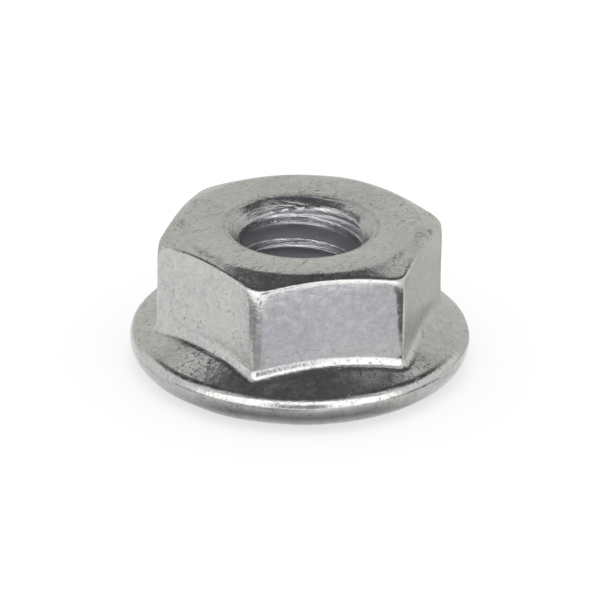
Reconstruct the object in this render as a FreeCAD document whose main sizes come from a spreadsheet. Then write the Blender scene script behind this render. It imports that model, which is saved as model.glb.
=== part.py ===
import FreeCAD, Part

import math
import os

import Sketcher
from FreeCAD import Vector

# Serrated flange nut, M6, cold formed in one piece with its flange.
# Millimetres. Origin at the centre of the bearing side, on the plane of the tooth tips.
# +Z runs along the bore towards the wrench end, and one corner of the hexagon points to +X.

# Driving dimensions: name, value, and what it measures
SIZES = [
    ("across_flats", 10.0, "wrench size over two opposite flats"),
    ("nut_height", 5.7, "from the tooth tips to the wrench end"),
    ("corner_round_top", 1.6, "rounding of a vertical corner at the wrench end"),
    ("corner_round_neck", 0.62, "the same rounding where the die starts to run short of metal"),
    ("corner_round_waist", 0.55, "the same rounding half way up the hexagon"),
    ("corner_round_low", 0.2, "the same rounding where the corner meets the flange"),
    ("neck_drop", 0.85, "how far that neck lies below the wrench end"),
    ("wrench_chamfer_inset", 0.4, "how far inside the flats the wrench end starts to fall away"),
    ("wrench_chamfer_slope", 22.0, "degrees that the chamfer falls below the flat end"),
    ("flange_lip", 0.93, "how far the rim stands out past the corners of the hexagon"),
    ("flange_reach", "=across_flats / sqrt(3) + flange_lip", "from the axis to the rim"),
    ("flange_slope", 23.0, "degrees that the cone of the flange rises towards the hexagon"),
    ("rim_low_radius", 1.0, "rounding of the rim towards the bearing side"),
    ("rim_top_radius", 0.43, "rounding of the rim towards the cone"),
    ("root_fillet", 0.55, "fillet between the hexagon and the cone"),
    ("bore_diameter", 5.0, "hole before tapping, which the crests of the thread keep"),
    ("countersink_diameter", 6.1, "mouth of the countersink at either end"),
    ("countersink_slope", 45.0, "degrees that the countersink falls below its mouth"),
    ("ring_diameter", 7.8, "outside of the smooth ring round the bore, under the nut"),
    ("ring_depth", 0.12, "how far that ring stands back from the tooth tips"),
    ("ring_bevel", 0.15, "width of the bevel from the ring down to the tooth tips"),
    ("tooth_count", 24, "ratchet teeth round the bearing side"),
    ("tooth_land", 2.0, "degrees of flat tip left on each tooth"),
    ("tooth_lean", 12.0, "degrees that the steep flank of a tooth leans back"),
    ("gap_depth", 0.25, "the deepest point of the gap between two teeth"),
    ("gap_margin", 0.05, "how far inside the rounding of the rim the gaps end"),
    ("gap_run_out", 0.45, "length over which the gaps rise to that end"),
    ("gap_end_depth", 0.03, "depth left in the gaps at their end"),
]

# How far a cutting profile reaches past the metal
CLEAR = 0.5

FLATS = 6
ORIGIN = (-1, 1)
ACROSS_AXIS = -1
UPRIGHT_AXIS = -2
START, END, CENTRE = range(1, 4)

doc = FreeCAD.newDocument("serrated_flange_nut")


def make_sheet():
    """The driving dimensions, one to a row, each under its own name."""
    made = doc.addObject("Spreadsheet::Sheet", "sizes")
    for row, (name, value, note) in enumerate(SIZES, 1):
        made.set(f"A{row}", name)
        made.set(f"B{row}", str(value))
        made.setAlias(f"B{row}", name)
        made.set(f"C{row}", note)
    doc.recompute()
    return made


sheet = make_sheet()


def size(name):
    """A driving dimension as a number, for the first guess of a sketch."""
    return float(sheet.get(name))


def origin_part(body, role):
    """One of the body's own origin planes or axes."""
    return next(item for item in body.Origin.OriginFeatures if item.Role == role)


def new_sketch(body, name, role, lift=None):
    """A sketch on an origin plane, moved along the plane's normal by an expression."""
    sketch = body.newObject("Sketcher::SketchObject", name)
    sketch.AttachmentSupport = [(origin_part(body, role), "")]
    sketch.MapMode = "FlatFace"
    if lift:
        sketch.setExpression("AttachmentOffset.Base.z", lift)
    return sketch


def bind(sketch, name, constraint, expression):
    """Adds a dimension to the sketch and ties it to the sheet."""
    sketch.renameConstraint(sketch.addConstraint(constraint), name)
    sketch.setExpression(f"Constraints.{name}", expression)


def bind_x(sketch, name, point, expression, guess, start=ORIGIN):
    """Ties how far a point lies to the right of the start."""
    bind(sketch, name, Sketcher.Constraint("DistanceX", *start, *point, guess), expression)


def bind_y(sketch, name, point, expression, guess, start=ORIGIN):
    """Ties how far a point lies above the start."""
    bind(sketch, name, Sketcher.Constraint("DistanceY", *start, *point, guess), expression)


def bind_angle(sketch, name, line, expression, degrees):
    """Ties a line's direction, in degrees from the sketch's horizontal."""
    constraint = Sketcher.Constraint("Angle", line, math.radians(degrees))
    bind(sketch, name, constraint, f"({expression}) * 1 deg")


def draw_polygon(sketch, points):
    """A closed outline of straight lines, with neighbouring ends joined."""
    corners = [Vector(x, y, 0) for x, y in points]
    count = len(corners)
    for i, corner in enumerate(corners):
        sketch.addGeometry(Part.LineSegment(corner, corners[(i + 1) % count]), False)
    for i in range(count):
        sketch.addConstraint(Sketcher.Constraint("Coincident", i, END, (i + 1) % count, START))


def set_level(sketch, horizontals, verticals):
    """Keeps the named lines level or upright."""
    for line in horizontals:
        sketch.addConstraint(Sketcher.Constraint("Horizontal", line))
    for line in verticals:
        sketch.addConstraint(Sketcher.Constraint("Vertical", line))


def turn(body, kind, name, sketch):
    """A full turn of the sketch about the nut's axis, which adds or cuts by its kind."""
    feature = body.newObject(kind, name)
    feature.Profile = sketch
    feature.ReferenceAxis = (origin_part(body, "Z_Axis"), [""])
    feature.Angle = 360
    doc.recompute()
    return feature


def draw_flange(body):
    """Half section of the flange: ring, bevel, bearing side, rounded rim and cone."""
    sketch = new_sketch(body, "flange_section", "YZ_Plane")
    outer = size("flange_reach")
    low, top = size("rim_low_radius"), size("rim_top_radius")
    slope = math.radians(size("flange_slope"))
    ring, back = size("ring_diameter") / 2, size("ring_depth")
    core = size("countersink_diameter") / 2
    rim_x = outer - top + top * math.sin(slope)
    rim_z = low + top * math.cos(slope)
    core_z = rim_z + (rim_x - core) * math.tan(slope)

    path = [(0, back), (ring, back), (ring + size("ring_bevel"), 0), (outer - low, 0)]
    for (x1, z1), (x2, z2) in zip(path, path[1:]):
        sketch.addGeometry(Part.LineSegment(Vector(x1, z1, 0), Vector(x2, z2, 0)), False)
    up = Vector(0, 0, 1)
    low_circle = Part.Circle(Vector(outer - low, low, 0), up, low)
    top_circle = Part.Circle(Vector(outer - top, low, 0), up, top)
    sketch.addGeometry(Part.ArcOfCircle(low_circle, -math.pi / 2, 0), False)
    sketch.addGeometry(Part.ArcOfCircle(top_circle, 0, math.pi / 2 - slope), False)
    path = [(rim_x, rim_z), (core, core_z), (0, core_z), (0, back)]
    for (x1, z1), (x2, z2) in zip(path, path[1:]):
        sketch.addGeometry(Part.LineSegment(Vector(x1, z1, 0), Vector(x2, z2, 0)), False)

    ring_line, bevel, bearing, low_arc, top_arc, cone, lid, axis = range(8)
    for first, second in ((ring_line, bevel), (bevel, bearing), (cone, lid), (lid, axis), (axis, ring_line)):
        sketch.addConstraint(Sketcher.Constraint("Coincident", first, END, second, START))
    for first, second in ((bearing, low_arc), (low_arc, top_arc), (top_arc, cone)):
        sketch.addConstraint(Sketcher.Constraint("Tangent", first, END, second, START))
    set_level(sketch, (ring_line, bearing, lid), (axis,))
    sketch.addConstraint(Sketcher.Constraint("PointOnObject", ring_line, START, UPRIGHT_AXIS))
    sketch.addConstraint(Sketcher.Constraint("PointOnObject", bearing, START, ACROSS_AXIS))
    sketch.addConstraint(Sketcher.Constraint("Horizontal", low_arc, CENTRE, low_arc, END))
    bind_y(sketch, "ring_depth", (ring_line, START), "sizes.ring_depth", back)
    bind_x(sketch, "ring_edge", (ring_line, END), "sizes.ring_diameter / 2", ring)
    bind_x(sketch, "ring_bevel", (bevel, END), "sizes.ring_bevel", size("ring_bevel"), (bevel, START))
    bind(sketch, "rim_low", Sketcher.Constraint("Radius", low_arc, low), "sizes.rim_low_radius")
    bind(sketch, "rim_top", Sketcher.Constraint("Radius", top_arc, top), "sizes.rim_top_radius")
    bind_x(sketch, "rim_reach", (low_arc, END), "sizes.flange_reach", outer)
    bind_angle(sketch, "cone_slope", cone, "180 - sizes.flange_slope", 180 - size("flange_slope"))
    bind_x(sketch, "core_edge", (cone, END), "sizes.countersink_diameter / 2", core)
    return sketch


def draw_hexagon(body, name, lift, round_name):
    """A hexagon round the across-flats circle, its corners rounded and one of them on +X."""
    sketch = new_sketch(body, name, "XY_Plane", lift)
    apothem, rounding = size("across_flats") / 2, size(round_name)
    reach = (apothem - rounding) / math.cos(math.pi / FLATS)
    step, half = 2 * math.pi / FLATS, math.pi / FLATS
    up = Vector(0, 0, 1)

    def on_corner(k, side):
        middle, edge = k * step, k * step + side * half
        return Vector(reach * math.cos(middle) + rounding * math.cos(edge),
                      reach * math.sin(middle) + rounding * math.sin(edge), 0)

    for k in range(FLATS):
        middle = Vector(reach * math.cos(k * step), reach * math.sin(k * step), 0)
        corner = Part.Circle(middle, up, rounding)
        sketch.addGeometry(Part.ArcOfCircle(corner, k * step - half, k * step + half), False)
        sketch.addGeometry(Part.LineSegment(on_corner(k, 1), on_corner(k + 1, -1)), False)
    flats_circle = sketch.addGeometry(Part.Circle(Vector(0, 0, 0), up, apothem), True)

    sketch.addConstraint(Sketcher.Constraint("Coincident", flats_circle, CENTRE, *ORIGIN))
    bind(sketch, "flats", Sketcher.Constraint("Radius", flats_circle, apothem), "sizes.across_flats / 2")
    bind(sketch, "rounding", Sketcher.Constraint("Radius", 0, rounding), f"sizes.{round_name}")
    for k in range(FLATS):
        arc, line, next_arc = 2 * k, 2 * k + 1, (2 * k + 2) % (2 * FLATS)
        sketch.addConstraint(Sketcher.Constraint("Tangent", arc, END, line, START))
        sketch.addConstraint(Sketcher.Constraint("Tangent", line, END, next_arc, START))
        sketch.addConstraint(Sketcher.Constraint("Tangent", line, flats_circle))
        direction = math.remainder((k + 0.5) * step + math.pi / 2, 2 * math.pi)
        sketch.addConstraint(Sketcher.Constraint("Angle", line, direction))
        if k:
            sketch.addConstraint(Sketcher.Constraint("Equal", 0, arc))
    return sketch


def make_hexagon(body):
    """The wrench part, lofted because its corners grow rounder towards the wrench end."""
    start = "sizes.rim_low_radius + sizes.rim_top_radius * cos(sizes.flange_slope * 1 deg)"
    sections = [
        draw_hexagon(body, "hexagon_low", start, "corner_round_low"),
        draw_hexagon(body, "hexagon_waist", f"({start} + sizes.nut_height) / 2", "corner_round_waist"),
        draw_hexagon(body, "hexagon_neck", "sizes.nut_height - sizes.neck_drop", "corner_round_neck"),
        draw_hexagon(body, "hexagon_top", "sizes.nut_height", "corner_round_top"),
    ]
    doc.recompute()
    loft = body.newObject("PartDesign::AdditiveLoft", "hexagon")
    loft.Profile = sections[0]
    loft.Sections = sections[1:]
    loft.Ruled = True
    doc.recompute()
    return loft


def root_edges(shape):
    """The edges where the sides of the hexagon come down on the cone of the flange."""
    slope = math.radians(size("flange_slope"))
    top = size("rim_top_radius")
    rim_x = size("flange_reach") - top + top * math.sin(slope)
    rim_z = size("rim_low_radius") + top * math.cos(slope)
    names = []
    for number, edge in enumerate(shape.Edges, 1):
        first, last = edge.ParameterRange
        places = [edge.valueAt(first + (last - first) * share) for share in (0.1, 0.5, 0.9)]
        reaches = [math.hypot(place.x, place.y) for place in places]
        heights = [rim_z + (rim_x - reach) * math.tan(slope) for reach in reaches]
        on_cone = all(abs(place.z - height) < 0.01 for place, height in zip(places, heights))
        if on_cone and min(reaches) > 0.45 * size("across_flats") and max(reaches) < rim_x - 0.01:
            names.append(f"Edge{number}")
    return names


def make_root_fillet(body, base):
    """The small fillet that the forging die leaves between the hexagon and the flange."""
    fillet = body.newObject("PartDesign::Fillet", "root_fillet")
    fillet.Base = (base, root_edges(base.Shape))
    fillet.setExpression("Radius", "sizes.root_fillet")
    doc.recompute()
    return fillet


def draw_chamfer(body):
    """What is cut from the corners of the wrench end, as a section outside the chamfer circle."""
    sketch = new_sketch(body, "chamfer_section", "XZ_Plane")
    start, height = size("across_flats") / 2 - size("wrench_chamfer_inset"), size("nut_height")
    reach = size("across_flats") / math.sqrt(3) + CLEAR
    fall = (reach - start) * math.tan(math.radians(size("wrench_chamfer_slope")))
    draw_polygon(sketch, [(start, height), (reach, height - fall),
                          (reach, height + CLEAR), (start, height + CLEAR)])
    set_level(sketch, (2,), (1, 3))
    bind_x(sketch, "chamfer_circle", (0, START), "sizes.across_flats / 2 - sizes.wrench_chamfer_inset", start)
    bind_y(sketch, "wrench_end", (0, START), "sizes.nut_height", height)
    bind_angle(sketch, "chamfer_slope", 0, "-sizes.wrench_chamfer_slope", -size("wrench_chamfer_slope"))
    bind_x(sketch, "past_corners", (1, START), f"sizes.across_flats / sqrt(3) + {CLEAR}", reach)
    bind_y(sketch, "past_end", (2, START), f"sizes.nut_height + {CLEAR}", height + CLEAR)
    return sketch


def draw_bore(body):
    """Half section of the bore with a countersink at either end."""
    sketch = new_sketch(body, "bore_section", "XZ_Plane")
    wall, mouth = size("bore_diameter") / 2, size("countersink_diameter") / 2
    low_end, top_end = size("ring_depth"), size("nut_height")
    sink = (mouth - wall) * math.tan(math.radians(size("countersink_slope")))
    draw_polygon(sketch, [(0, -CLEAR), (mouth, -CLEAR), (mouth, low_end), (wall, low_end + sink),
                          (wall, top_end - sink), (mouth, top_end), (mouth, top_end + CLEAR),
                          (0, top_end + CLEAR)])
    set_level(sketch, (0, 6), (1, 3, 5, 7))
    sketch.addConstraint(Sketcher.Constraint("PointOnObject", 0, START, UPRIGHT_AXIS))
    bind_y(sketch, "below", (0, START), f"-{CLEAR}", -CLEAR)
    bind_x(sketch, "low_mouth", (1, START), "sizes.countersink_diameter / 2", mouth)
    bind_y(sketch, "low_end", (2, START), "sizes.ring_depth", low_end)
    slope = size("countersink_slope")
    bind_angle(sketch, "low_slope", 2, "180 - sizes.countersink_slope", 180 - slope)
    bind_x(sketch, "wall", (3, START), "sizes.bore_diameter / 2", wall)
    bind_angle(sketch, "top_slope", 4, "sizes.countersink_slope", slope)
    bind_x(sketch, "top_mouth", (5, START), "sizes.countersink_diameter / 2", mouth)
    bind_y(sketch, "top_end", (5, START), "sizes.nut_height", top_end)
    bind_y(sketch, "above", (6, START), f"sizes.nut_height + {CLEAR}", top_end + CLEAR)
    return sketch


def draw_gap(body, name, reach, depth):
    """Section across the gap between two teeth, square to the radius at the given reach.

    The steep flank comes first and the ramp after it, counter-clockwise seen from above, so
    the steep flanks bite when a right-hand nut is turned to loosen it.
    """
    sketch = new_sketch(body, name, "YZ_Plane", reach)
    half = f"({reach}) * tan((180 / sizes.tooth_count - sizes.tooth_land / 2) * 1 deg)"
    side, top = 1.0, 0.1
    draw_polygon(sketch, [(-side, -CLEAR), (side, -CLEAR), (side, 0), (-side + top / 5, top), (-side, 0)])
    set_level(sketch, (0,), (1, 4))
    sketch.addConstraint(Sketcher.Constraint("PointOnObject", 2, START, ACROSS_AXIS))
    sketch.addConstraint(Sketcher.Constraint("PointOnObject", 4, START, ACROSS_AXIS))
    bind_y(sketch, "below", (0, START), f"-{CLEAR}", -CLEAR)
    bind_x(sketch, "ramp_end", (2, START), half, side)
    bind_x(sketch, "flank_start", (4, START), f"-{half}", -side)
    bind_y(sketch, "depth", (3, START), depth, top)
    lean = f"({depth}) * tan(sizes.tooth_lean * 1 deg)"
    bind_x(sketch, "lean", (3, START), lean, top / 5, (4, START))
    return sketch


def make_teeth(body):
    """The ratchet teeth: one gap lofted outwards along its radius, repeated round the axis."""
    end = "sizes.flange_reach - sizes.rim_low_radius - sizes.gap_margin"
    deepest = f"{end} - sizes.gap_run_out"
    slope = f"(sizes.gap_depth - sizes.ring_depth) / ({deepest} - sizes.ring_diameter / 2)"
    sections = [
        draw_gap(body, "gap_inner", "sizes.ring_diameter / 2 - sizes.ring_bevel",
                 f"sizes.ring_depth - sizes.ring_bevel * {slope}"),
        draw_gap(body, "gap_deepest", deepest, "sizes.gap_depth"),
        draw_gap(body, "gap_outer", end, "sizes.gap_end_depth"),
    ]
    doc.recompute()
    gap = body.newObject("PartDesign::SubtractiveLoft", "tooth_gap")
    gap.Profile = sections[0]
    gap.Sections = sections[1:]
    gap.Ruled = True
    doc.recompute()
    ring = body.newObject("PartDesign::PolarPattern", "tooth_ring")
    ring.Originals = [gap]
    ring.Axis = (origin_part(body, "Z_Axis"), [""])
    ring.Angle = 360
    ring.setExpression("Occurrences", "sizes.tooth_count")
    body.Tip = ring
    doc.recompute()
    return ring


def make_nut():
    """The whole nut as one body, in the order that a die and a drill would form it."""
    body = doc.addObject("PartDesign::Body", "flange_nut")
    body.Label = "flange_nut"
    turn(body, "PartDesign::Revolution", "flange", draw_flange(body))
    hexagon = make_hexagon(body)
    make_root_fillet(body, hexagon)
    turn(body, "PartDesign::Groove", "wrench_chamfer", draw_chamfer(body))
    turn(body, "PartDesign::Groove", "bore", draw_bore(body))
    make_teeth(body)
    return body


def check_steps(body):
    """Stops where an object failed, or where a step left the volume as it was."""
    for item in doc.Objects:
        if "Invalid" in item.State or "Error" in item.State:
            raise RuntimeError(f"{item.Name} failed: {item.State}")
    steps = [item for item in body.Group if item.isDerivedFrom("PartDesign::Feature")]
    before = 0.0
    for step in steps:
        if abs(step.Shape.Volume - before) < 0.01:
            raise RuntimeError(f"{step.Name} changed nothing")
        print(f"{step.Name:16s} volume {step.Shape.Volume:8.3f} mm3, faces {len(step.Shape.Faces)}")
        before = step.Shape.Volume
    for sketch in doc.findObjects("Sketcher::SketchObject"):
        if not sketch.FullyConstrained:
            raise RuntimeError(f"{sketch.Name} isn't fully constrained")


nut = make_nut()
check_steps(nut)
shape = nut.Shape
if shape.isNull() or not shape.isValid() or len(shape.Solids) != 1:
    raise RuntimeError("the nut isn't one sound solid")
os.makedirs("parts", exist_ok=True)
shape.exportStep(f"parts/{nut.Label}.step")
box = shape.optimalBoundingBox()
print(f"box {box.XLength:.3f} x {box.YLength:.3f} x {box.ZLength:.3f} mm, lowest z {box.ZMin:.4f}")
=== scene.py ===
import math

import bpy
import numpy as np
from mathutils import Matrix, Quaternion, Vector


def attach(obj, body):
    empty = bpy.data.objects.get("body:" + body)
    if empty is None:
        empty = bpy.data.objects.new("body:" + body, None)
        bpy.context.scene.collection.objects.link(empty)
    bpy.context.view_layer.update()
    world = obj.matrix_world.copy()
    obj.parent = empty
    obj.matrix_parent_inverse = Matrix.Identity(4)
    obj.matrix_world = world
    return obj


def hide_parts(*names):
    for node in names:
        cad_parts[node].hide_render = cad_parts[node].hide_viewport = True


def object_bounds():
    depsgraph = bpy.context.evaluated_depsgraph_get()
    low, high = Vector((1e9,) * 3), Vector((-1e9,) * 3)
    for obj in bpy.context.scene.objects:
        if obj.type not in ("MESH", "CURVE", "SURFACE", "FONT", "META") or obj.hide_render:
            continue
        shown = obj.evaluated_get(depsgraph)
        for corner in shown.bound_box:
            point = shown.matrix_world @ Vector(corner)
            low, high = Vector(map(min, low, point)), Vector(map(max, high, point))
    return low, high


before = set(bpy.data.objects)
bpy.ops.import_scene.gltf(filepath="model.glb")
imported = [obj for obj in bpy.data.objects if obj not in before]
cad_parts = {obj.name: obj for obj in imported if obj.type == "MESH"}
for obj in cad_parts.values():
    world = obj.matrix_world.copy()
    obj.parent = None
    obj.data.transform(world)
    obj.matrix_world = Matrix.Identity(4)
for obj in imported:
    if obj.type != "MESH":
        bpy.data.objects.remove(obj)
cad_low, cad_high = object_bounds()

# The nut: a slug of steel wire, cold formed into a hexagon with a round flange and ratchet teeth
# under it, then drilled, countersunk, tapped M6 and plated with bright zinc in a barrel.
# Its sizes are in millimetres, and its surface is found along rays in the section of each angle.

nut_height = cad_high.z * 1000
rim_reach = cad_high.y * 1000
flat_reach = 5.0
corner_heights = (1.396, 3.55, 4.5, 4.75, 4.9, 5.1, 5.3, 5.7)
corner_rounds = (0.2, 0.55, 0.6, 0.64, 0.71, 0.9, 1.13, 1.6)
end_circle, end_slope = 4.6, math.radians(22)
cone_slope = math.radians(23)
rim_low_round, rim_top_round = 0.93, 0.52
root_fillet, edge_blend, end_blend = 0.55, 0.12, 0.05
mouth, sink_slope, mouth_blend = 2.9, math.radians(45), 0.08
dish_reach, dish_depth = 4.5, 0.13
worn_side, worn_step, worn_blend = math.radians(42), 0.2, 0.3
ring_reach, ring_rise, ring_bevel = 3.9, 0.12, 0.15
tooth_step, gap_half = math.radians(15), math.radians(6.5)
tooth_lean = math.radians(12)
gap_reaches = (3.75, 5.2, 5.65, 5.8)
gap_depths = (0.105, 0.25, 0.03, 0.0)
under_blend = 0.02
cone_foot = rim_reach - rim_top_round * (1 - math.sin(cone_slope))
cone_foot_z = rim_low_round + rim_top_round * math.cos(cone_slope)
mouth_height = nut_height - dish_depth
heart = np.array([4.2, 1.6])
skin_mouth, bore_mouth = 2.52, 2.5


def smooth_max(a, b, width):
    """The larger of a and b, plus width / 4 times the square of how close they are."""
    close = np.maximum(width - np.abs(a - b), 0.0) / width
    return np.maximum(a, b) + close * close * width / 4


def hexagon_distance(reach, angle, rounding):
    """How far a point is outside a hexagon with rounded corners, one of them at angle 0.

    The angle is folded to the nearest corner. Beside the flat the distance is that to its line, and
    past the end of the flat it is that to the centre of the corner's arc, less its radius.
    """
    folded = np.abs(np.mod(angle + math.pi / 6, math.pi / 3) - math.pi / 6)
    outwards = reach * np.cos(math.pi / 6 - folded)
    inner = flat_reach - rounding
    past = reach * np.sin(math.pi / 6 - folded) - inner * math.tan(math.pi / 6)
    in_corner = (past > 0) & (outwards > inner)
    return np.where(in_corner, np.hypot(past, outwards - inner) - rounding, outwards - flat_reach)


def hexagon_reach(angle, rounding):
    """How far the same hexagon reaches at an angle: the flat's line, or the circle of the corner."""
    folded = np.abs(np.mod(angle + math.pi / 6, math.pi / 3) - math.pi / 6)
    inner = flat_reach - rounding
    centre = inner / math.cos(math.pi / 6)
    touch = math.pi / 6 - math.atan(inner * math.tan(math.pi / 6) / flat_reach)
    under = np.maximum(rounding ** 2 - (centre * np.sin(folded)) ** 2, 0.0)
    arc = centre * np.cos(folded) + np.sqrt(under)
    return np.where(folded < touch, arc, flat_reach / np.cos(math.pi / 6 - folded))


def flange_distance(reach, z):
    """How far a point is outside the flange: bearing plane, low arc, top arc and cone."""
    low_centre, top_centre = rim_reach - rim_low_round, rim_reach - rim_top_round
    low_arc = np.hypot(np.maximum(reach - low_centre, 0), z - rim_low_round) - rim_low_round
    low = np.where(z < rim_low_round, np.where(reach > low_centre, low_arc, -z), reach - rim_reach)
    cone = (reach - cone_foot) * math.sin(cone_slope) + (z - cone_foot_z) * math.cos(cone_slope)
    turned = np.arctan2(z - rim_low_round, np.maximum(reach - top_centre, 1e-9))
    top_arc = np.hypot(reach - top_centre, z - rim_low_round) - rim_top_round
    on_arc = (reach > top_centre) & (turned > 0) & (turned < math.pi / 2 - cone_slope)
    return np.maximum(low, np.where(on_arc, top_arc, cone))


def tooth_floor(reach, angle):
    """Height of the gap between two teeth: a steep flank, then a ramp down to the next tip.

    The gap deepens outwards to 0.25 mm at 10.4 mm across and has almost run out at 11.3 mm across.
    """
    depth = np.interp(reach, gap_reaches, gap_depths)
    across = reach * np.tan(np.mod(angle + tooth_step / 2, tooth_step) - tooth_step / 2)
    half = reach * math.tan(gap_half)
    steep_foot = depth * math.tan(tooth_lean)
    flank = (across + half) / math.tan(tooth_lean)
    ramp = depth * (half - across) / (2 * half - steep_foot)
    return np.maximum(np.minimum(flank, ramp), 0.0)


def root_field(hexagon, flange, angle):
    """Hexagon and flange joined by a fillet, from how far a point is outside of each.

    The fillet's centre is its radius away from both. With p and q the radius less each distance and
    t the angle between the two surfaces' normals, the centre is sqrt(p^2 + q^2 - 2pq cos t) / sin t
    away, and the fillet lies where neither of p and q is less than the other times cos t.
    """
    folded = np.abs(np.mod(angle + math.pi / 6, math.pi / 3) - math.pi / 6)
    between = math.sin(cone_slope) * np.cos(math.pi / 6 - folded)
    p, q = root_fillet - hexagon, root_fillet - flange
    away = np.sqrt((p * p + q * q - 2 * p * q * between) / (1 - between ** 2))
    in_fillet = (p > 0) & (q > 0) & (p > q * between) & (q > p * between)
    return np.where(in_fillet, root_fillet - away, np.minimum(hexagon, flange))


wave_lengths = (1.5, 1.8, 2.1, 2.6, 3.1, 4.0)
wave_steepness = 0.0011
wave_seed = 11


def forging_waves(x, y, z):
    """The slight unevenness of forged faces: a sum of sines in set directions, 1.5 to 4 mm long."""
    made = np.random.default_rng(wave_seed)
    total = np.zeros_like(x)
    for length in wave_lengths:
        way = made.normal(size=3)
        way *= 2 * math.pi / length / np.linalg.norm(way)
        phase = way[0] * x + way[1] * y + way[2] * z + made.uniform(0, 6)
        total += wave_steepness * length * np.sin(phase)
    return total


def worn_share(angle):
    """How worn the edge of the mouth is: the fourth power of the cosine from the worn side."""
    return np.clip(np.cos(angle - worn_side), 0, 1) ** 4


def mouth_reach(angle):
    """How far the countersink reaches: 0.2 mm less where its edge is most worn."""
    return mouth - worn_step * worn_share(angle)


def nut_field(reach, angle, z):
    """Below nothing inside the metal: hexagon joined to flange, less teeth, ring and countersinks."""
    rounding = np.interp(z, corner_heights, corner_rounds)
    sides = hexagon_distance(reach, angle, rounding)
    slope = (z - nut_height) * math.cos(end_slope) + (reach - end_circle) * math.sin(end_slope)
    dish = dish_depth * np.clip((dish_reach - reach) / (dish_reach - mouth), 0, 1) ** 2
    hexagon = smooth_max(sides, smooth_max(z - nut_height + dish, slope, end_blend), edge_blend)
    metal = root_field(hexagon, flange_distance(reach, z), angle)
    bevel = ring_rise * (1 - np.clip((reach - ring_reach) / ring_bevel, 0, 1))
    under = np.maximum(tooth_floor(reach, angle), bevel)
    metal = smooth_max(metal, under - z, under_blend)
    top_sink = ((z - mouth_height) * math.cos(sink_slope)
                + (mouth_reach(angle) - reach) * math.sin(sink_slope))
    low_sink = (ring_rise - z) * math.cos(sink_slope) + (mouth - reach) * math.sin(sink_slope)
    rounded = mouth_blend + worn_blend * worn_share(angle)
    metal = smooth_max(metal, np.maximum(top_sink, low_sink), rounded)
    return metal + forging_waves(reach * np.cos(angle), reach * np.sin(angle), z)


even_columns, corner_crowding = 468, 0.45
flank_columns = np.radians((-6.5, -6.22, -5.95, 6.5))
least_step = math.radians(0.14)


def column_angles():
    """Angles all round, closer at the corners of the hexagon and with a few on each steep flank.

    The even angles are drawn to the corners by a sine of six waves a turn, and those that lie
    almost on a flank's own angles are left out.
    """
    even = np.linspace(0, 2 * math.pi, even_columns, endpoint=False)
    warped = even - corner_crowding * np.sin(6 * even) / 6
    gaps = np.arange(24)[:, None] * tooth_step
    flanks = (gaps + flank_columns).ravel() % (2 * math.pi)
    nearest = np.abs(warped[:, None] - flanks).min(1)
    angles = np.sort(np.concatenate([warped[nearest > least_step], flanks]))
    return angles if len(angles) % 2 == 0 else np.delete(angles, 1)


aim_top_round, aim_low_round = 1.3, 0.25
crowded, evenly = 0.62, 0.38


def section_rows(angles):
    """Points to aim at in each section, from the top mouth round the outside to the lower mouth.

    Each bend is a reach, a height and the count of rows up to the next bend. Between the bends the
    rows lie closer at both ends: a half cosine mixed with even steps.
    """
    top_reach = hexagon_reach(angles, aim_top_round)
    low_reach = hexagon_reach(angles, aim_low_round)
    full = np.ones_like(angles)
    drop = math.tan(sink_slope) * (mouth - skin_mouth)
    top_drop = math.tan(sink_slope) * (mouth_reach(angles) - skin_mouth)
    bends = [
        (skin_mouth * full, mouth_height - top_drop, 10),
        (mouth * full, mouth_height * full, 14),
        (end_circle * full, nut_height * full, 9),
        (top_reach, nut_height - (top_reach - end_circle) * math.tan(end_slope), 25),
        (low_reach, cone_foot_z + (cone_foot - low_reach) * math.tan(cone_slope), 14),
        (cone_foot * full, cone_foot_z * full, 9),
        (rim_reach * full, rim_low_round * full, 11),
        ((rim_reach - rim_low_round) * full, 0 * full, 12),
        ((ring_reach + ring_bevel) * full, 0 * full, 3),
        (ring_reach * full, ring_rise * full, 6),
        (mouth * full, ring_rise * full, 4),
        (skin_mouth * full, (ring_rise + drop) * full, 0),
    ]
    rows = []
    for (r1, z1, count), (r2, z2, _) in zip(bends, bends[1:]):
        share = np.arange(count) / count
        share = (crowded * (1 - np.cos(math.pi * share)) / 2 + evenly * share)[:, None]
        rows.append(np.stack([r1 + (r2 - r1) * share, z1 + (z2 - z1) * share], -1))
    rows.append(np.stack(bends[-1][:2], -1)[None])
    return np.concatenate(rows)


far_enough, halvings = 1.3, 26


def find_skin(angles):
    """The outer surface: on each ray from the heart of the section, where the field is nothing.

    The place is found by halving the part of the ray that it lies in, again and again.
    """
    aim = section_rows(angles) - heart
    low, high = np.zeros(aim.shape[:2]), np.full(aim.shape[:2], far_enough)
    for _ in range(halvings):
        half = (low + high) / 2
        reach, z = heart[0] + aim[..., 0] * half, heart[1] + aim[..., 1] * half
        inside = nut_field(reach, angles[None], z) < 0
        low, high = np.where(inside, half, low), np.where(inside, high, half)
    return heart[0] + aim[..., 0] * low, heart[1] + aim[..., 1] * low


pitch, crest_reach, thread_depth, crest_half = 1.0, 2.39, 0.54, 0.16
crest_blend, root_blend, mouth_join = 0.07, 0.06, 0.05
thread_start, start_run = 5.15, 0.35
row_places = np.array((0.0, 0.08, 0.16, 0.24, 0.28, 0.31, 0.34, 0.38, 0.46))
turn_rows = 2 * len(row_places) - 1
first_turn, last_turn = -2, 8
end_margin = 0.012


def thread_reach(phase):
    """Section of the thread over one turn: a flat crest, 60 degree flanks and a narrow root.

    The distance from the middle of the crest, less half the crest's width, over tan 30 degrees,
    held between nothing and the depth of the thread with both bends rounded.
    """
    off_crest = np.abs(np.mod(phase, 1.0) - 0.5) * pitch
    rise = (off_crest - crest_half) / math.tan(math.pi / 6)
    level = np.zeros_like(rise)
    deep = smooth_max(-smooth_max(rise, level, crest_blend), level - thread_depth, root_blend)
    return crest_reach - deep


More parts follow.
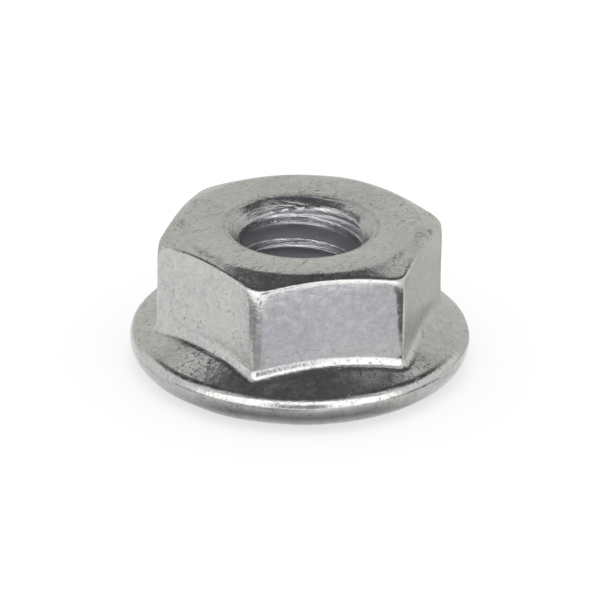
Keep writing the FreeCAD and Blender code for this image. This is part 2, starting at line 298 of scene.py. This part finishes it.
def find_bore(angles):
    """The tapped bore as rows along the helix: height is the pitch times (turns + angle share).

    Rows that would pass either end are drawn together into that end's circle. Returns the angles,
    reaches and heights of the points, those of the low and the top circle first, and which point
    each row has in each column.
    """
    phases = np.sort(np.concatenate([row_places, 1 - row_places[1:]]))
    turns = (np.arange(first_turn, last_turn)[:, None] + phases[None]).ravel()
    z = pitch * (turns[:, None] + angles[None] / (2 * math.pi))
    low_end = ring_rise + math.tan(sink_slope) * (mouth - bore_mouth)
    top_end = mouth_height - math.tan(sink_slope) * (mouth_reach(angles) - bore_mouth)
    below, above = z < low_end + end_margin, z > top_end - end_margin
    free = ~(below | above)
    count = len(angles)
    number = np.where(below, np.arange(count), np.where(above, count + np.arange(count), 0))
    number[free] = 2 * count + np.arange(free.sum())
    around = np.broadcast_to(angles, z.shape)[free]
    height = z[free]
    cut = np.clip((thread_start - height) / start_run, 0, 1)
    reach = thread_reach(height / pitch - around / (2 * math.pi))
    reach = crest_reach + (reach - crest_reach) * cut
    slant = 1 / math.tan(sink_slope)
    reach = smooth_max(reach, mouth_reach(around) - (mouth_height - height) * slant, mouth_join)
    reach = smooth_max(reach, mouth - (height - ring_rise) * slant, mouth_join)
    ends = np.concatenate([np.full(count, low_end), top_end])
    angle_all = np.concatenate([angles, angles, around])
    reach_all = np.concatenate([np.full(2 * count, bore_mouth), reach])
    return angle_all, reach_all, np.concatenate([ends, height]), number


def grid_triangles(here, beside):
    """Two triangles for each cell between a grid of point numbers and the column beside each."""
    first = np.stack([here[:-1], here[1:], beside[1:]], -1).reshape(-1, 3)
    second = np.stack([here[:-1], beside[1:], beside[:-1]], -1).reshape(-1, 3)
    both = np.concatenate([first, second])
    same = (both[:, 0] == both[:, 1]) | (both[:, 1] == both[:, 2]) | (both[:, 0] == both[:, 2])
    return both[~same]


def strip_triangles(fine, coarse):
    """Joins a circle to one with half as many points: three triangles for each coarse step."""
    a, b = coarse, np.roll(coarse, -1)
    low, middle, top = fine[0::2], fine[1::2], np.roll(fine[0::2], -1)
    parts = [(a, low, middle), (a, middle, b), (b, middle, top)]
    return np.concatenate([np.stack(part, -1) for part in parts])


def build_nut():
    """The closed mesh of the skin and the bore, with the skin's circles joined to the bore's."""
    angles = column_angles()
    skin_reach, skin_z = find_skin(angles)
    rows, columns = skin_reach.shape
    skin = np.arange(rows * columns).reshape(rows, columns)
    skin_faces = grid_triangles(skin, np.roll(skin, -1, axis=1))

    bore_angle, bore_reach, bore_z, number = find_bore(angles[::2])
    bore = number + rows * columns
    half = len(angles) // 2
    beside = np.roll(bore, -1, axis=1)
    top_number = rows * columns + half
    beside[:, -1] = np.concatenate([bore[turn_rows:, 0], np.full(turn_rows, top_number)])
    bore_faces = grid_triangles(bore, beside)
    low_circle = np.arange(half) + rows * columns
    top_faces = strip_triangles(skin[0], low_circle + half)
    low_faces = strip_triangles(skin[-1], low_circle)[:, ::-1]

    around = np.concatenate([np.broadcast_to(angles, skin_z.shape).ravel(), bore_angle])
    reach = np.concatenate([skin_reach.ravel(), bore_reach])
    z = np.concatenate([skin_z.ravel(), bore_z])
    points = np.stack([reach * np.cos(around), reach * np.sin(around), z], -1) / 1000
    faces = np.concatenate([skin_faces, bore_faces, top_faces, low_faces])

    mesh = bpy.data.meshes.new("zinc_plated_nut")
    mesh.vertices.add(len(points))
    mesh.vertices.foreach_set("co", points.astype(np.float32).ravel())
    mesh.loops.add(faces.size)
    mesh.loops.foreach_set("vertex_index", faces.astype(np.int32).ravel())
    mesh.polygons.add(len(faces))
    mesh.polygons.foreach_set("loop_start", np.arange(0, faces.size, 3, dtype=np.int32))
    mesh.polygons.foreach_set("use_smooth", np.ones(len(faces), bool))
    mesh.update(calc_edges=True)
    mesh.validate()
    mesh.set_sharp_from_angle(angle=math.radians(38))
    made = bpy.data.objects.new("zinc_plated_nut", mesh)
    bpy.context.scene.collection.objects.link(made)
    return made


nut = build_nut()

zinc = bpy.data.materials.new("zinc_plate")
zinc.use_nodes = True
zinc_tree = zinc.node_tree
shader = zinc_tree.nodes["Principled BSDF"]
shader.inputs["Metallic"].default_value = 1.0


def add_node(tree, kind, settings=None, inputs=None):
    """A node of one kind, with its settings, and a value or a link on each socket that is given."""
    made = tree.nodes.new(kind)
    for name, value in (settings or {}).items():
        setattr(made, name, value)
    for name, value in (inputs or {}).items():
        if isinstance(value, bpy.types.NodeSocket):
            tree.links.new(value, made.inputs[name])
        else:
            made.inputs[name].default_value = value
    return made


def remap(value, low, high, to_low, to_high):
    """Spreads a value from one range to another and holds it there."""
    ends = {"Value": value, "From Min": low, "From Max": high, "To Min": to_low, "To Max": to_high}
    return add_node(value.id_data, "ShaderNodeMapRange", None, ends).outputs["Result"]


def combine(operation, first, *others):
    """A value, and others or numbers, put together one after another by one kind of sum."""
    for value in others:
        made = add_node(first.id_data, "ShaderNodeMath", {"operation": operation}, {0: first, 1: value})
        first = made.outputs["Value"]
    return first


def close_to(value, middle, inner, outer, most):
    """The most that is given, up to one distance from a middle value, and nothing past another."""
    away = combine("ABSOLUTE", combine("SUBTRACT", value, middle), 0.0)
    return remap(away, inner, outer, most, 0.0)


def tint(share, first, second):
    """Two colours mixed, with a share of the second."""
    inputs = {"Factor": share, "A": first, "B": second}
    return add_node(zinc_tree, "ShaderNodeMix", {"data_type": "RGBA"}, inputs).outputs["Result"]


coordinates = add_node(zinc_tree, "ShaderNodeTexCoord").outputs
place = add_node(zinc_tree, "ShaderNodeSeparateXYZ", None, {"Vector": coordinates["Object"]}).outputs
facing = add_node(zinc_tree, "ShaderNodeSeparateXYZ", None, {"Vector": coordinates["Normal"]}).outputs


def cloud(scale, detail, coarse=0.55, source=coordinates["Object"]):
    """Soft noise with so many waves to the metre."""
    inputs = {"Vector": source, "Scale": scale, "Detail": detail, "Roughness": coarse}
    return add_node(zinc_tree, "ShaderNodeTexNoise", None, inputs).outputs["Fac"]


scratch_foot, scratch_crest = 0.64, 0.725


def scratches(turn, stretch, scale):
    """Long thin marks: noise drawn out along one direction, of which only the crests are kept."""
    inputs = {"Vector": coordinates["Object"], "Rotation": turn, "Scale": (1.0, stretch, 1.0)}
    drawn = add_node(zinc_tree, "ShaderNodeMapping", {"vector_type": "TEXTURE"}, inputs)
    waves = cloud(scale, 2.0, 0.5, drawn.outputs["Vector"])
    return remap(waves, scratch_foot, scratch_crest, 0.0, 1.0)


# The plating: patches of dull and clear zinc, a mottle of about 0.4 mm, finer grain and pits,
# scratches that lie four ways and mostly on the faces that look up, and dark specks.

patches = cloud(420.0, 3.0)
mottle = cloud(2600.0, 3.0, 0.5)
grain = cloud(13000.0, 3.0)
pits = cloud(6500.0, 2.0)
marks = combine("MAXIMUM", scratches((0.3, 0.5, 0.2), 9.0, 8500.0),
                scratches((-0.4, 0.2, -0.9), 8.0, 7500.0),
                scratches((0.2, -0.3, 1.6), 7.0, 8000.0),
                scratches((0.1, 0.2, 2.4), 10.0, 7500.0))
upward = remap(combine("ABSOLUTE", facing["Z"], 0.0), 0.3, 0.8, 0.3, 1.0)
marked_places = remap(cloud(650.0, 2.0), 0.4, 0.58, 0.3, 1.0)
marks = combine("MULTIPLY", marks, combine("MULTIPLY", upward, marked_places))
specks = combine("MULTIPLY", remap(cloud(7000.0, 4.0, 0.65), 0.58, 0.7, 0.0, 1.0),
                 remap(cloud(900.0, 2.0), 0.42, 0.62, 0.2, 1.0))

# Where the finish differs, in metres: the countersinks with the rings that the drill left, the
# tapped bore and the flanks of its thread, and the two edges of the wrench end, darker in specks.

mouth_edge, end_edge = 0.00302, 0.00465
crest_edge, flank_edge = 0.00241, 0.00249
tap_start, tap_fade = 0.0050, 0.0053
end_low, end_high = 0.0054, 0.0055
ring_lean, rings_per_metre = 0.6, 17000.0
square = combine("ADD", combine("POWER", place["X"], 2.0), combine("POWER", place["Y"], 2.0))
off_axis = combine("SQRT", square, 0.0)
in_mouth = remap(off_axis, 0.00298, 0.00304, 1.0, 0.0)
in_bore = combine("MULTIPLY", in_mouth, remap(place["Z"], tap_start, tap_fade, 1.0, 0.0))
on_end = remap(place["Z"], end_low, end_high, 0.0, 1.0)
edges = combine("MULTIPLY", close_to(off_axis, end_edge, 0.00004, 0.0002, 1.0),
                remap(cloud(700.0, 3.0), 0.46, 0.6, 0.0, 1.0))
edges = combine("MAXIMUM", edges, close_to(off_axis, mouth_edge, 0.00003, 0.00011, 0.7))
edges = combine("MULTIPLY", edges, on_end, remap(pits, 0.4, 0.6, 0.0, 1.0))
down_cone = combine("SUBTRACT", place["Z"], combine("MULTIPLY", off_axis, ring_lean))
ring_place = add_node(zinc_tree, "ShaderNodeCombineXYZ", None,
                      {"X": combine("MULTIPLY", down_cone, rings_per_metre),
                       "Y": combine("MULTIPLY", patches, 9.0)})
rings = add_node(zinc_tree, "ShaderNodeTexNoise", {"noise_dimensions": "2D"},
                 {"Vector": ring_place.outputs["Vector"], "Scale": 1.0, "Detail": 3.0}).outputs["Fac"]

dull_zinc, clear_zinc = (0.4, 0.4, 0.41, 1), (0.61, 0.605, 0.58, 1)
dark_tone, cut_steel = (0.16, 0.155, 0.15, 1), (0.44, 0.44, 0.46, 1)
clear_share = combine("ADD", remap(patches, 0.35, 0.65, 0.08, 0.32),
                      remap(mottle, 0.32, 0.68, 0.0, 0.35), remap(pits, 0.32, 0.68, 0.0, 0.3))
darkened = combine("MAXIMUM", specks, edges, combine("MULTIPLY", marks, 0.8))
cut_share = combine("ADD", combine("MULTIPLY", in_bore, 0.6), combine("MULTIPLY", in_mouth, 0.25))
colour = tint(clear_share, dull_zinc, clear_zinc)
colour = tint(combine("MULTIPLY", darkened, 0.9), colour, dark_tone)
colour = tint(cut_share, colour, cut_steel)
zinc_tree.links.new(colour, shader.inputs["Base Color"])

on_flank = combine("MULTIPLY", in_bore, remap(off_axis, crest_edge, flank_edge, 0.04, 0.2))
on_flank = combine("ADD", on_flank, combine("MULTIPLY", in_mouth, 0.05))
rough = combine("ADD", remap(mottle, 0.3, 0.7, 0.12, 0.22), combine("MULTIPLY", marks, 0.1),
                on_flank)
zinc_tree.links.new(rough, shader.inputs["Roughness"])

relief = combine("ADD", combine("MULTIPLY", mottle, 0.42), combine("MULTIPLY", grain, 0.16),
                 combine("MULTIPLY", pits, 0.14))
relief = combine("SUBTRACT", relief, combine("MULTIPLY", marks, 0.12), combine("MULTIPLY", specks, 0.3))
relief = combine("ADD", relief, combine("MULTIPLY", rings, in_mouth, 1.3))
bump = add_node(zinc_tree, "ShaderNodeBump", None,
                {"Height": relief, "Strength": 1.0, "Distance": 0.00002})
zinc_tree.links.new(bump.outputs["Normal"], shader.inputs["Normal"])

nut.data.materials.append(zinc)
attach(nut, "root")
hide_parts("flange_nut")

# The floor that the nut stands on: a plain white sheet, matt, much wider than the view. What the
# camera and the metal see of it is six tenths its own white, and the rest the light on it, so that
# the nut's shadow stays. It lies just below the tooth tips.

floor_half, floor_drop, own_share = 3.0, 0.00002, 0.6
floor_mesh = bpy.data.meshes.new("floor")
floor_mesh.from_pydata([(-floor_half, -floor_half, 0), (floor_half, -floor_half, 0),
                        (floor_half, floor_half, 0), (-floor_half, floor_half, 0)], [], [(0, 1, 2, 3)])
floor = bpy.data.objects.new("floor", floor_mesh)
bpy.context.scene.collection.objects.link(floor)
floor.location.z = -floor_drop
paper = bpy.data.materials.new("white_paper")
paper.use_nodes = True
paper_tree = paper.node_tree
paper_tree.nodes.clear()
seen_by = add_node(paper_tree, "ShaderNodeLightPath").outputs
seen = combine("MAXIMUM", seen_by["Is Camera Ray"], seen_by["Is Glossy Ray"],
               seen_by["Is Transmission Ray"])
matt = add_node(paper_tree, "ShaderNodeBsdfDiffuse", None, {"Color": (0.95, 0.95, 0.95, 1)})
own_white = add_node(paper_tree, "ShaderNodeEmission")
mixed = add_node(paper_tree, "ShaderNodeMixShader", None,
                 {0: combine("MULTIPLY", seen, own_share), 1: matt.outputs["BSDF"],
                  2: own_white.outputs["Emission"]})
add_node(paper_tree, "ShaderNodeOutputMaterial", None, {"Surface": mixed.outputs["Shader"]})
floor_mesh.materials.append(paper)

# The studio: a white tent all round and a soft lamp overhead, with cards and walls of several greys
# that give the bright metal something to reflect. Only reflections see the cards.

world = bpy.data.worlds.new("white_tent")
bpy.context.scene.world = world
world.use_nodes = True
world.node_tree.nodes["Background"].inputs["Color"].default_value = (1, 1, 1, 1)
world.node_tree.nodes["Background"].inputs["Strength"].default_value = 1.0

view_turn, view_rise = math.radians(-13.051), math.radians(25.954)
to_right = Vector((math.cos(view_turn), math.sin(view_turn), 0))
to_back = Vector((-math.sin(view_turn), math.cos(view_turn), 0))
ceiling = 0.3
on_floor, over_sheets, over_all = 0.00001, 0.000012, 0.000014
white = (1.0, 1.0, 1.0)


def card(name, corners, colour, strength=1.0):
    """A flat card with its corners given to the right, away from the camera, and up, in metres."""
    mesh = bpy.data.meshes.new(name)
    places = [to_right * right + to_back * away + Vector((0, 0, up)) for right, away, up in corners]
    mesh.from_pydata(places, [], [(0, 1, 2, 3)])
    made = bpy.data.objects.new(name, mesh)
    bpy.context.scene.collection.objects.link(made)
    made.visible_camera = False
    made.visible_diffuse = False
    made.visible_shadow = False
    paint = bpy.data.materials.new(name)
    paint.use_nodes = True
    paint.node_tree.nodes.clear()
    inputs = {"Color": (*colour, 1), "Strength": strength}
    glow = add_node(paint.node_tree, "ShaderNodeEmission", None, inputs)
    add_node(paint.node_tree, "ShaderNodeOutputMaterial", None, {"Surface": glow.outputs["Emission"]})
    mesh.materials.append(paint)
    return made


def level_card(name, left, right, front, rear, colour, strength=1.0, up=ceiling):
    """A card that lies level, overhead or on the floor."""
    corners = [(left, front, up), (right, front, up), (right, rear, up), (left, rear, up)]
    return card(name, corners, colour, strength)


def upright_card(name, left, right, away, top, colour, strength=1.0):
    """A card that stands on the floor, square to the view."""
    corners = [(left, away, 0.0), (right, away, 0.0), (right, away, top), (left, away, top)]
    return card(name, corners, colour, strength)


level_card("dark_card", -0.13, 0.145, -0.13, 0.2, (0.12, 0.12, 0.128))
level_card("left_wing", -0.2, -0.13, -0.06, 0.13, (0.09, 0.09, 0.09))
level_card("left_end", -0.42, -0.2, -0.03, 0.27, (0.09, 0.09, 0.09))
level_card("right_wing", 0.145, 0.2, -0.06, 0.16, (0.09, 0.09, 0.09))
level_card("right_end", 0.2, 0.42, -0.03, 0.27, (0.09, 0.09, 0.09))
level_card("grey_lamp", -0.3, 0.3, -0.21, -0.13, (0.36, 0.36, 0.39))
upright_card("near_light", -0.5, 0.5, -0.21, 0.3, white, 2.0)
upright_card("grey_card", -0.054, 0.073, -0.2, 0.115, (0.42, 0.42, 0.47))
upright_card("back_wall", -0.6, 0.6, 0.45, 0.6, (0.76, 0.755, 0.72))
# Painted shade on the floor in front of the nut, lilac, and a painted lighter strip at its foot.
level_card("lilac_painted_shade", 0.0005, 0.0086, -0.0165, -0.0078, (0.79, 0.79, 0.86), 1.0, on_floor)
level_card("foot_painted_light", 0.0005, 0.0086, -0.0098, -0.0078, (0.93, 0.93, 0.97), 1.0, over_sheets)
# Painted shade on the floor at the front left, further left, behind, and just behind at the right.
level_card("left_painted_shade", -0.0095, 0.0005, -0.0165, -0.0078, (0.5, 0.5, 0.51), 1.0, on_floor)
level_card("side_painted_shade", -0.016, -0.0056, -0.0165, -0.0052, (0.38, 0.38, 0.39), 1.0, over_sheets)
level_card("back_painted_shade", -0.06, 0.06, 0.008, 0.1, (0.7, 0.7, 0.67), 1.0, on_floor)
level_card("right_back_painted_shade", 0.0055, 0.06, 0.001, 0.008, (0.64, 0.64, 0.62), 1.0, on_floor)
# Painted deep shade on the floor at the front right.
level_card("right_painted_shade", 0.0091, 0.02, -0.0165, -0.003, (0.16, 0.16, 0.17), 1.0, on_floor)
# Painted light: floor brighter than white further out in front, and a glowing patch under the bore.
level_card("painted_bright_floor", -0.2, 0.2, -0.2, -0.0167, white, 1.7, on_floor)
level_card("bore_painted_light", -0.0019, 0.0019, -0.0019, 0.0019, white, 2.2, on_floor)

# The shade that the nut casts on the floor along its near rim, as the metal sees it: darkest just
# outside the rim, and lighter under it, further out and towards either side.

contact = level_card("contact_shadow", -0.0085, 0.0085, -0.0085, -0.001, white, 1.0, over_all)
contact_tree = contact.data.materials[0].node_tree
under_rim, rim_foot, shade_end = 0.0061, 0.0069, 0.0084
side_start, side_end = 0.0015, 0.0058
darkest, under_level, outer_level, side_level = 0.28, 0.8, 0.68, 0.88
contact_place = add_node(contact_tree, "ShaderNodeTexCoord").outputs["Object"]
from_axis = add_node(contact_tree, "ShaderNodeVectorMath", {"operation": "LENGTH"},
                     {0: contact_place}).outputs["Value"]
to_side = add_node(contact_tree, "ShaderNodeVectorMath", {"operation": "DOT_PRODUCT"},
                   {0: contact_place, 1: to_right}).outputs["Value"]
level = combine("MAXIMUM", remap(from_axis, under_rim, rim_foot, under_level, darkest),
                remap(from_axis, rim_foot, shade_end, darkest, outer_level),
                remap(combine("ABSOLUTE", to_side, 0.0), side_start, side_end, 0.0, side_level))
contact_tree.links.new(level, contact_tree.nodes["Emission"].inputs["Strength"])

# The lamp: a soft disk straight overhead, which gives the floor its light and the nut its shadow.

lamp_light = bpy.data.lights.new("overhead_lamp", "AREA")
lamp_light.shape = "DISK"
lamp_light.size = 0.12
lamp_light.energy = 0.05
lamp = bpy.data.objects.new("overhead_lamp", lamp_light)
lamp.location = (0.0, 0.0, 0.2)
lamp.visible_glossy = False
bpy.context.scene.collection.objects.link(lamp)

# The camera: a long lens at the angle and distance that fit the outline in the photo. It looks at
# a point on the axis, a little under half the nut's height up.

view_distance, view_height, view_roll = 0.124, 0.00235, math.radians(0.806)
camera_data = bpy.data.cameras.new("camera")
camera_data.sensor_width = 36.0
camera_data.lens = 189.05
camera_data.clip_start, camera_data.clip_end = 0.01, 20.0
camera = bpy.data.objects.new("camera", camera_data)
back = Vector((math.sin(view_turn) * math.cos(view_rise), -math.cos(view_turn) * math.cos(view_rise),
               math.sin(view_rise)))
camera.location = Vector((0, 0, view_height)) + back * view_distance
camera.rotation_mode = "QUATERNION"
camera.rotation_quaternion = (-back).to_track_quat("-Z", "Y") @ Quaternion((0, 0, 1), view_roll)
bpy.context.scene.collection.objects.link(camera)
bpy.context.scene.camera = camera
bpy.context.scene.view_settings.view_transform = "Standard"
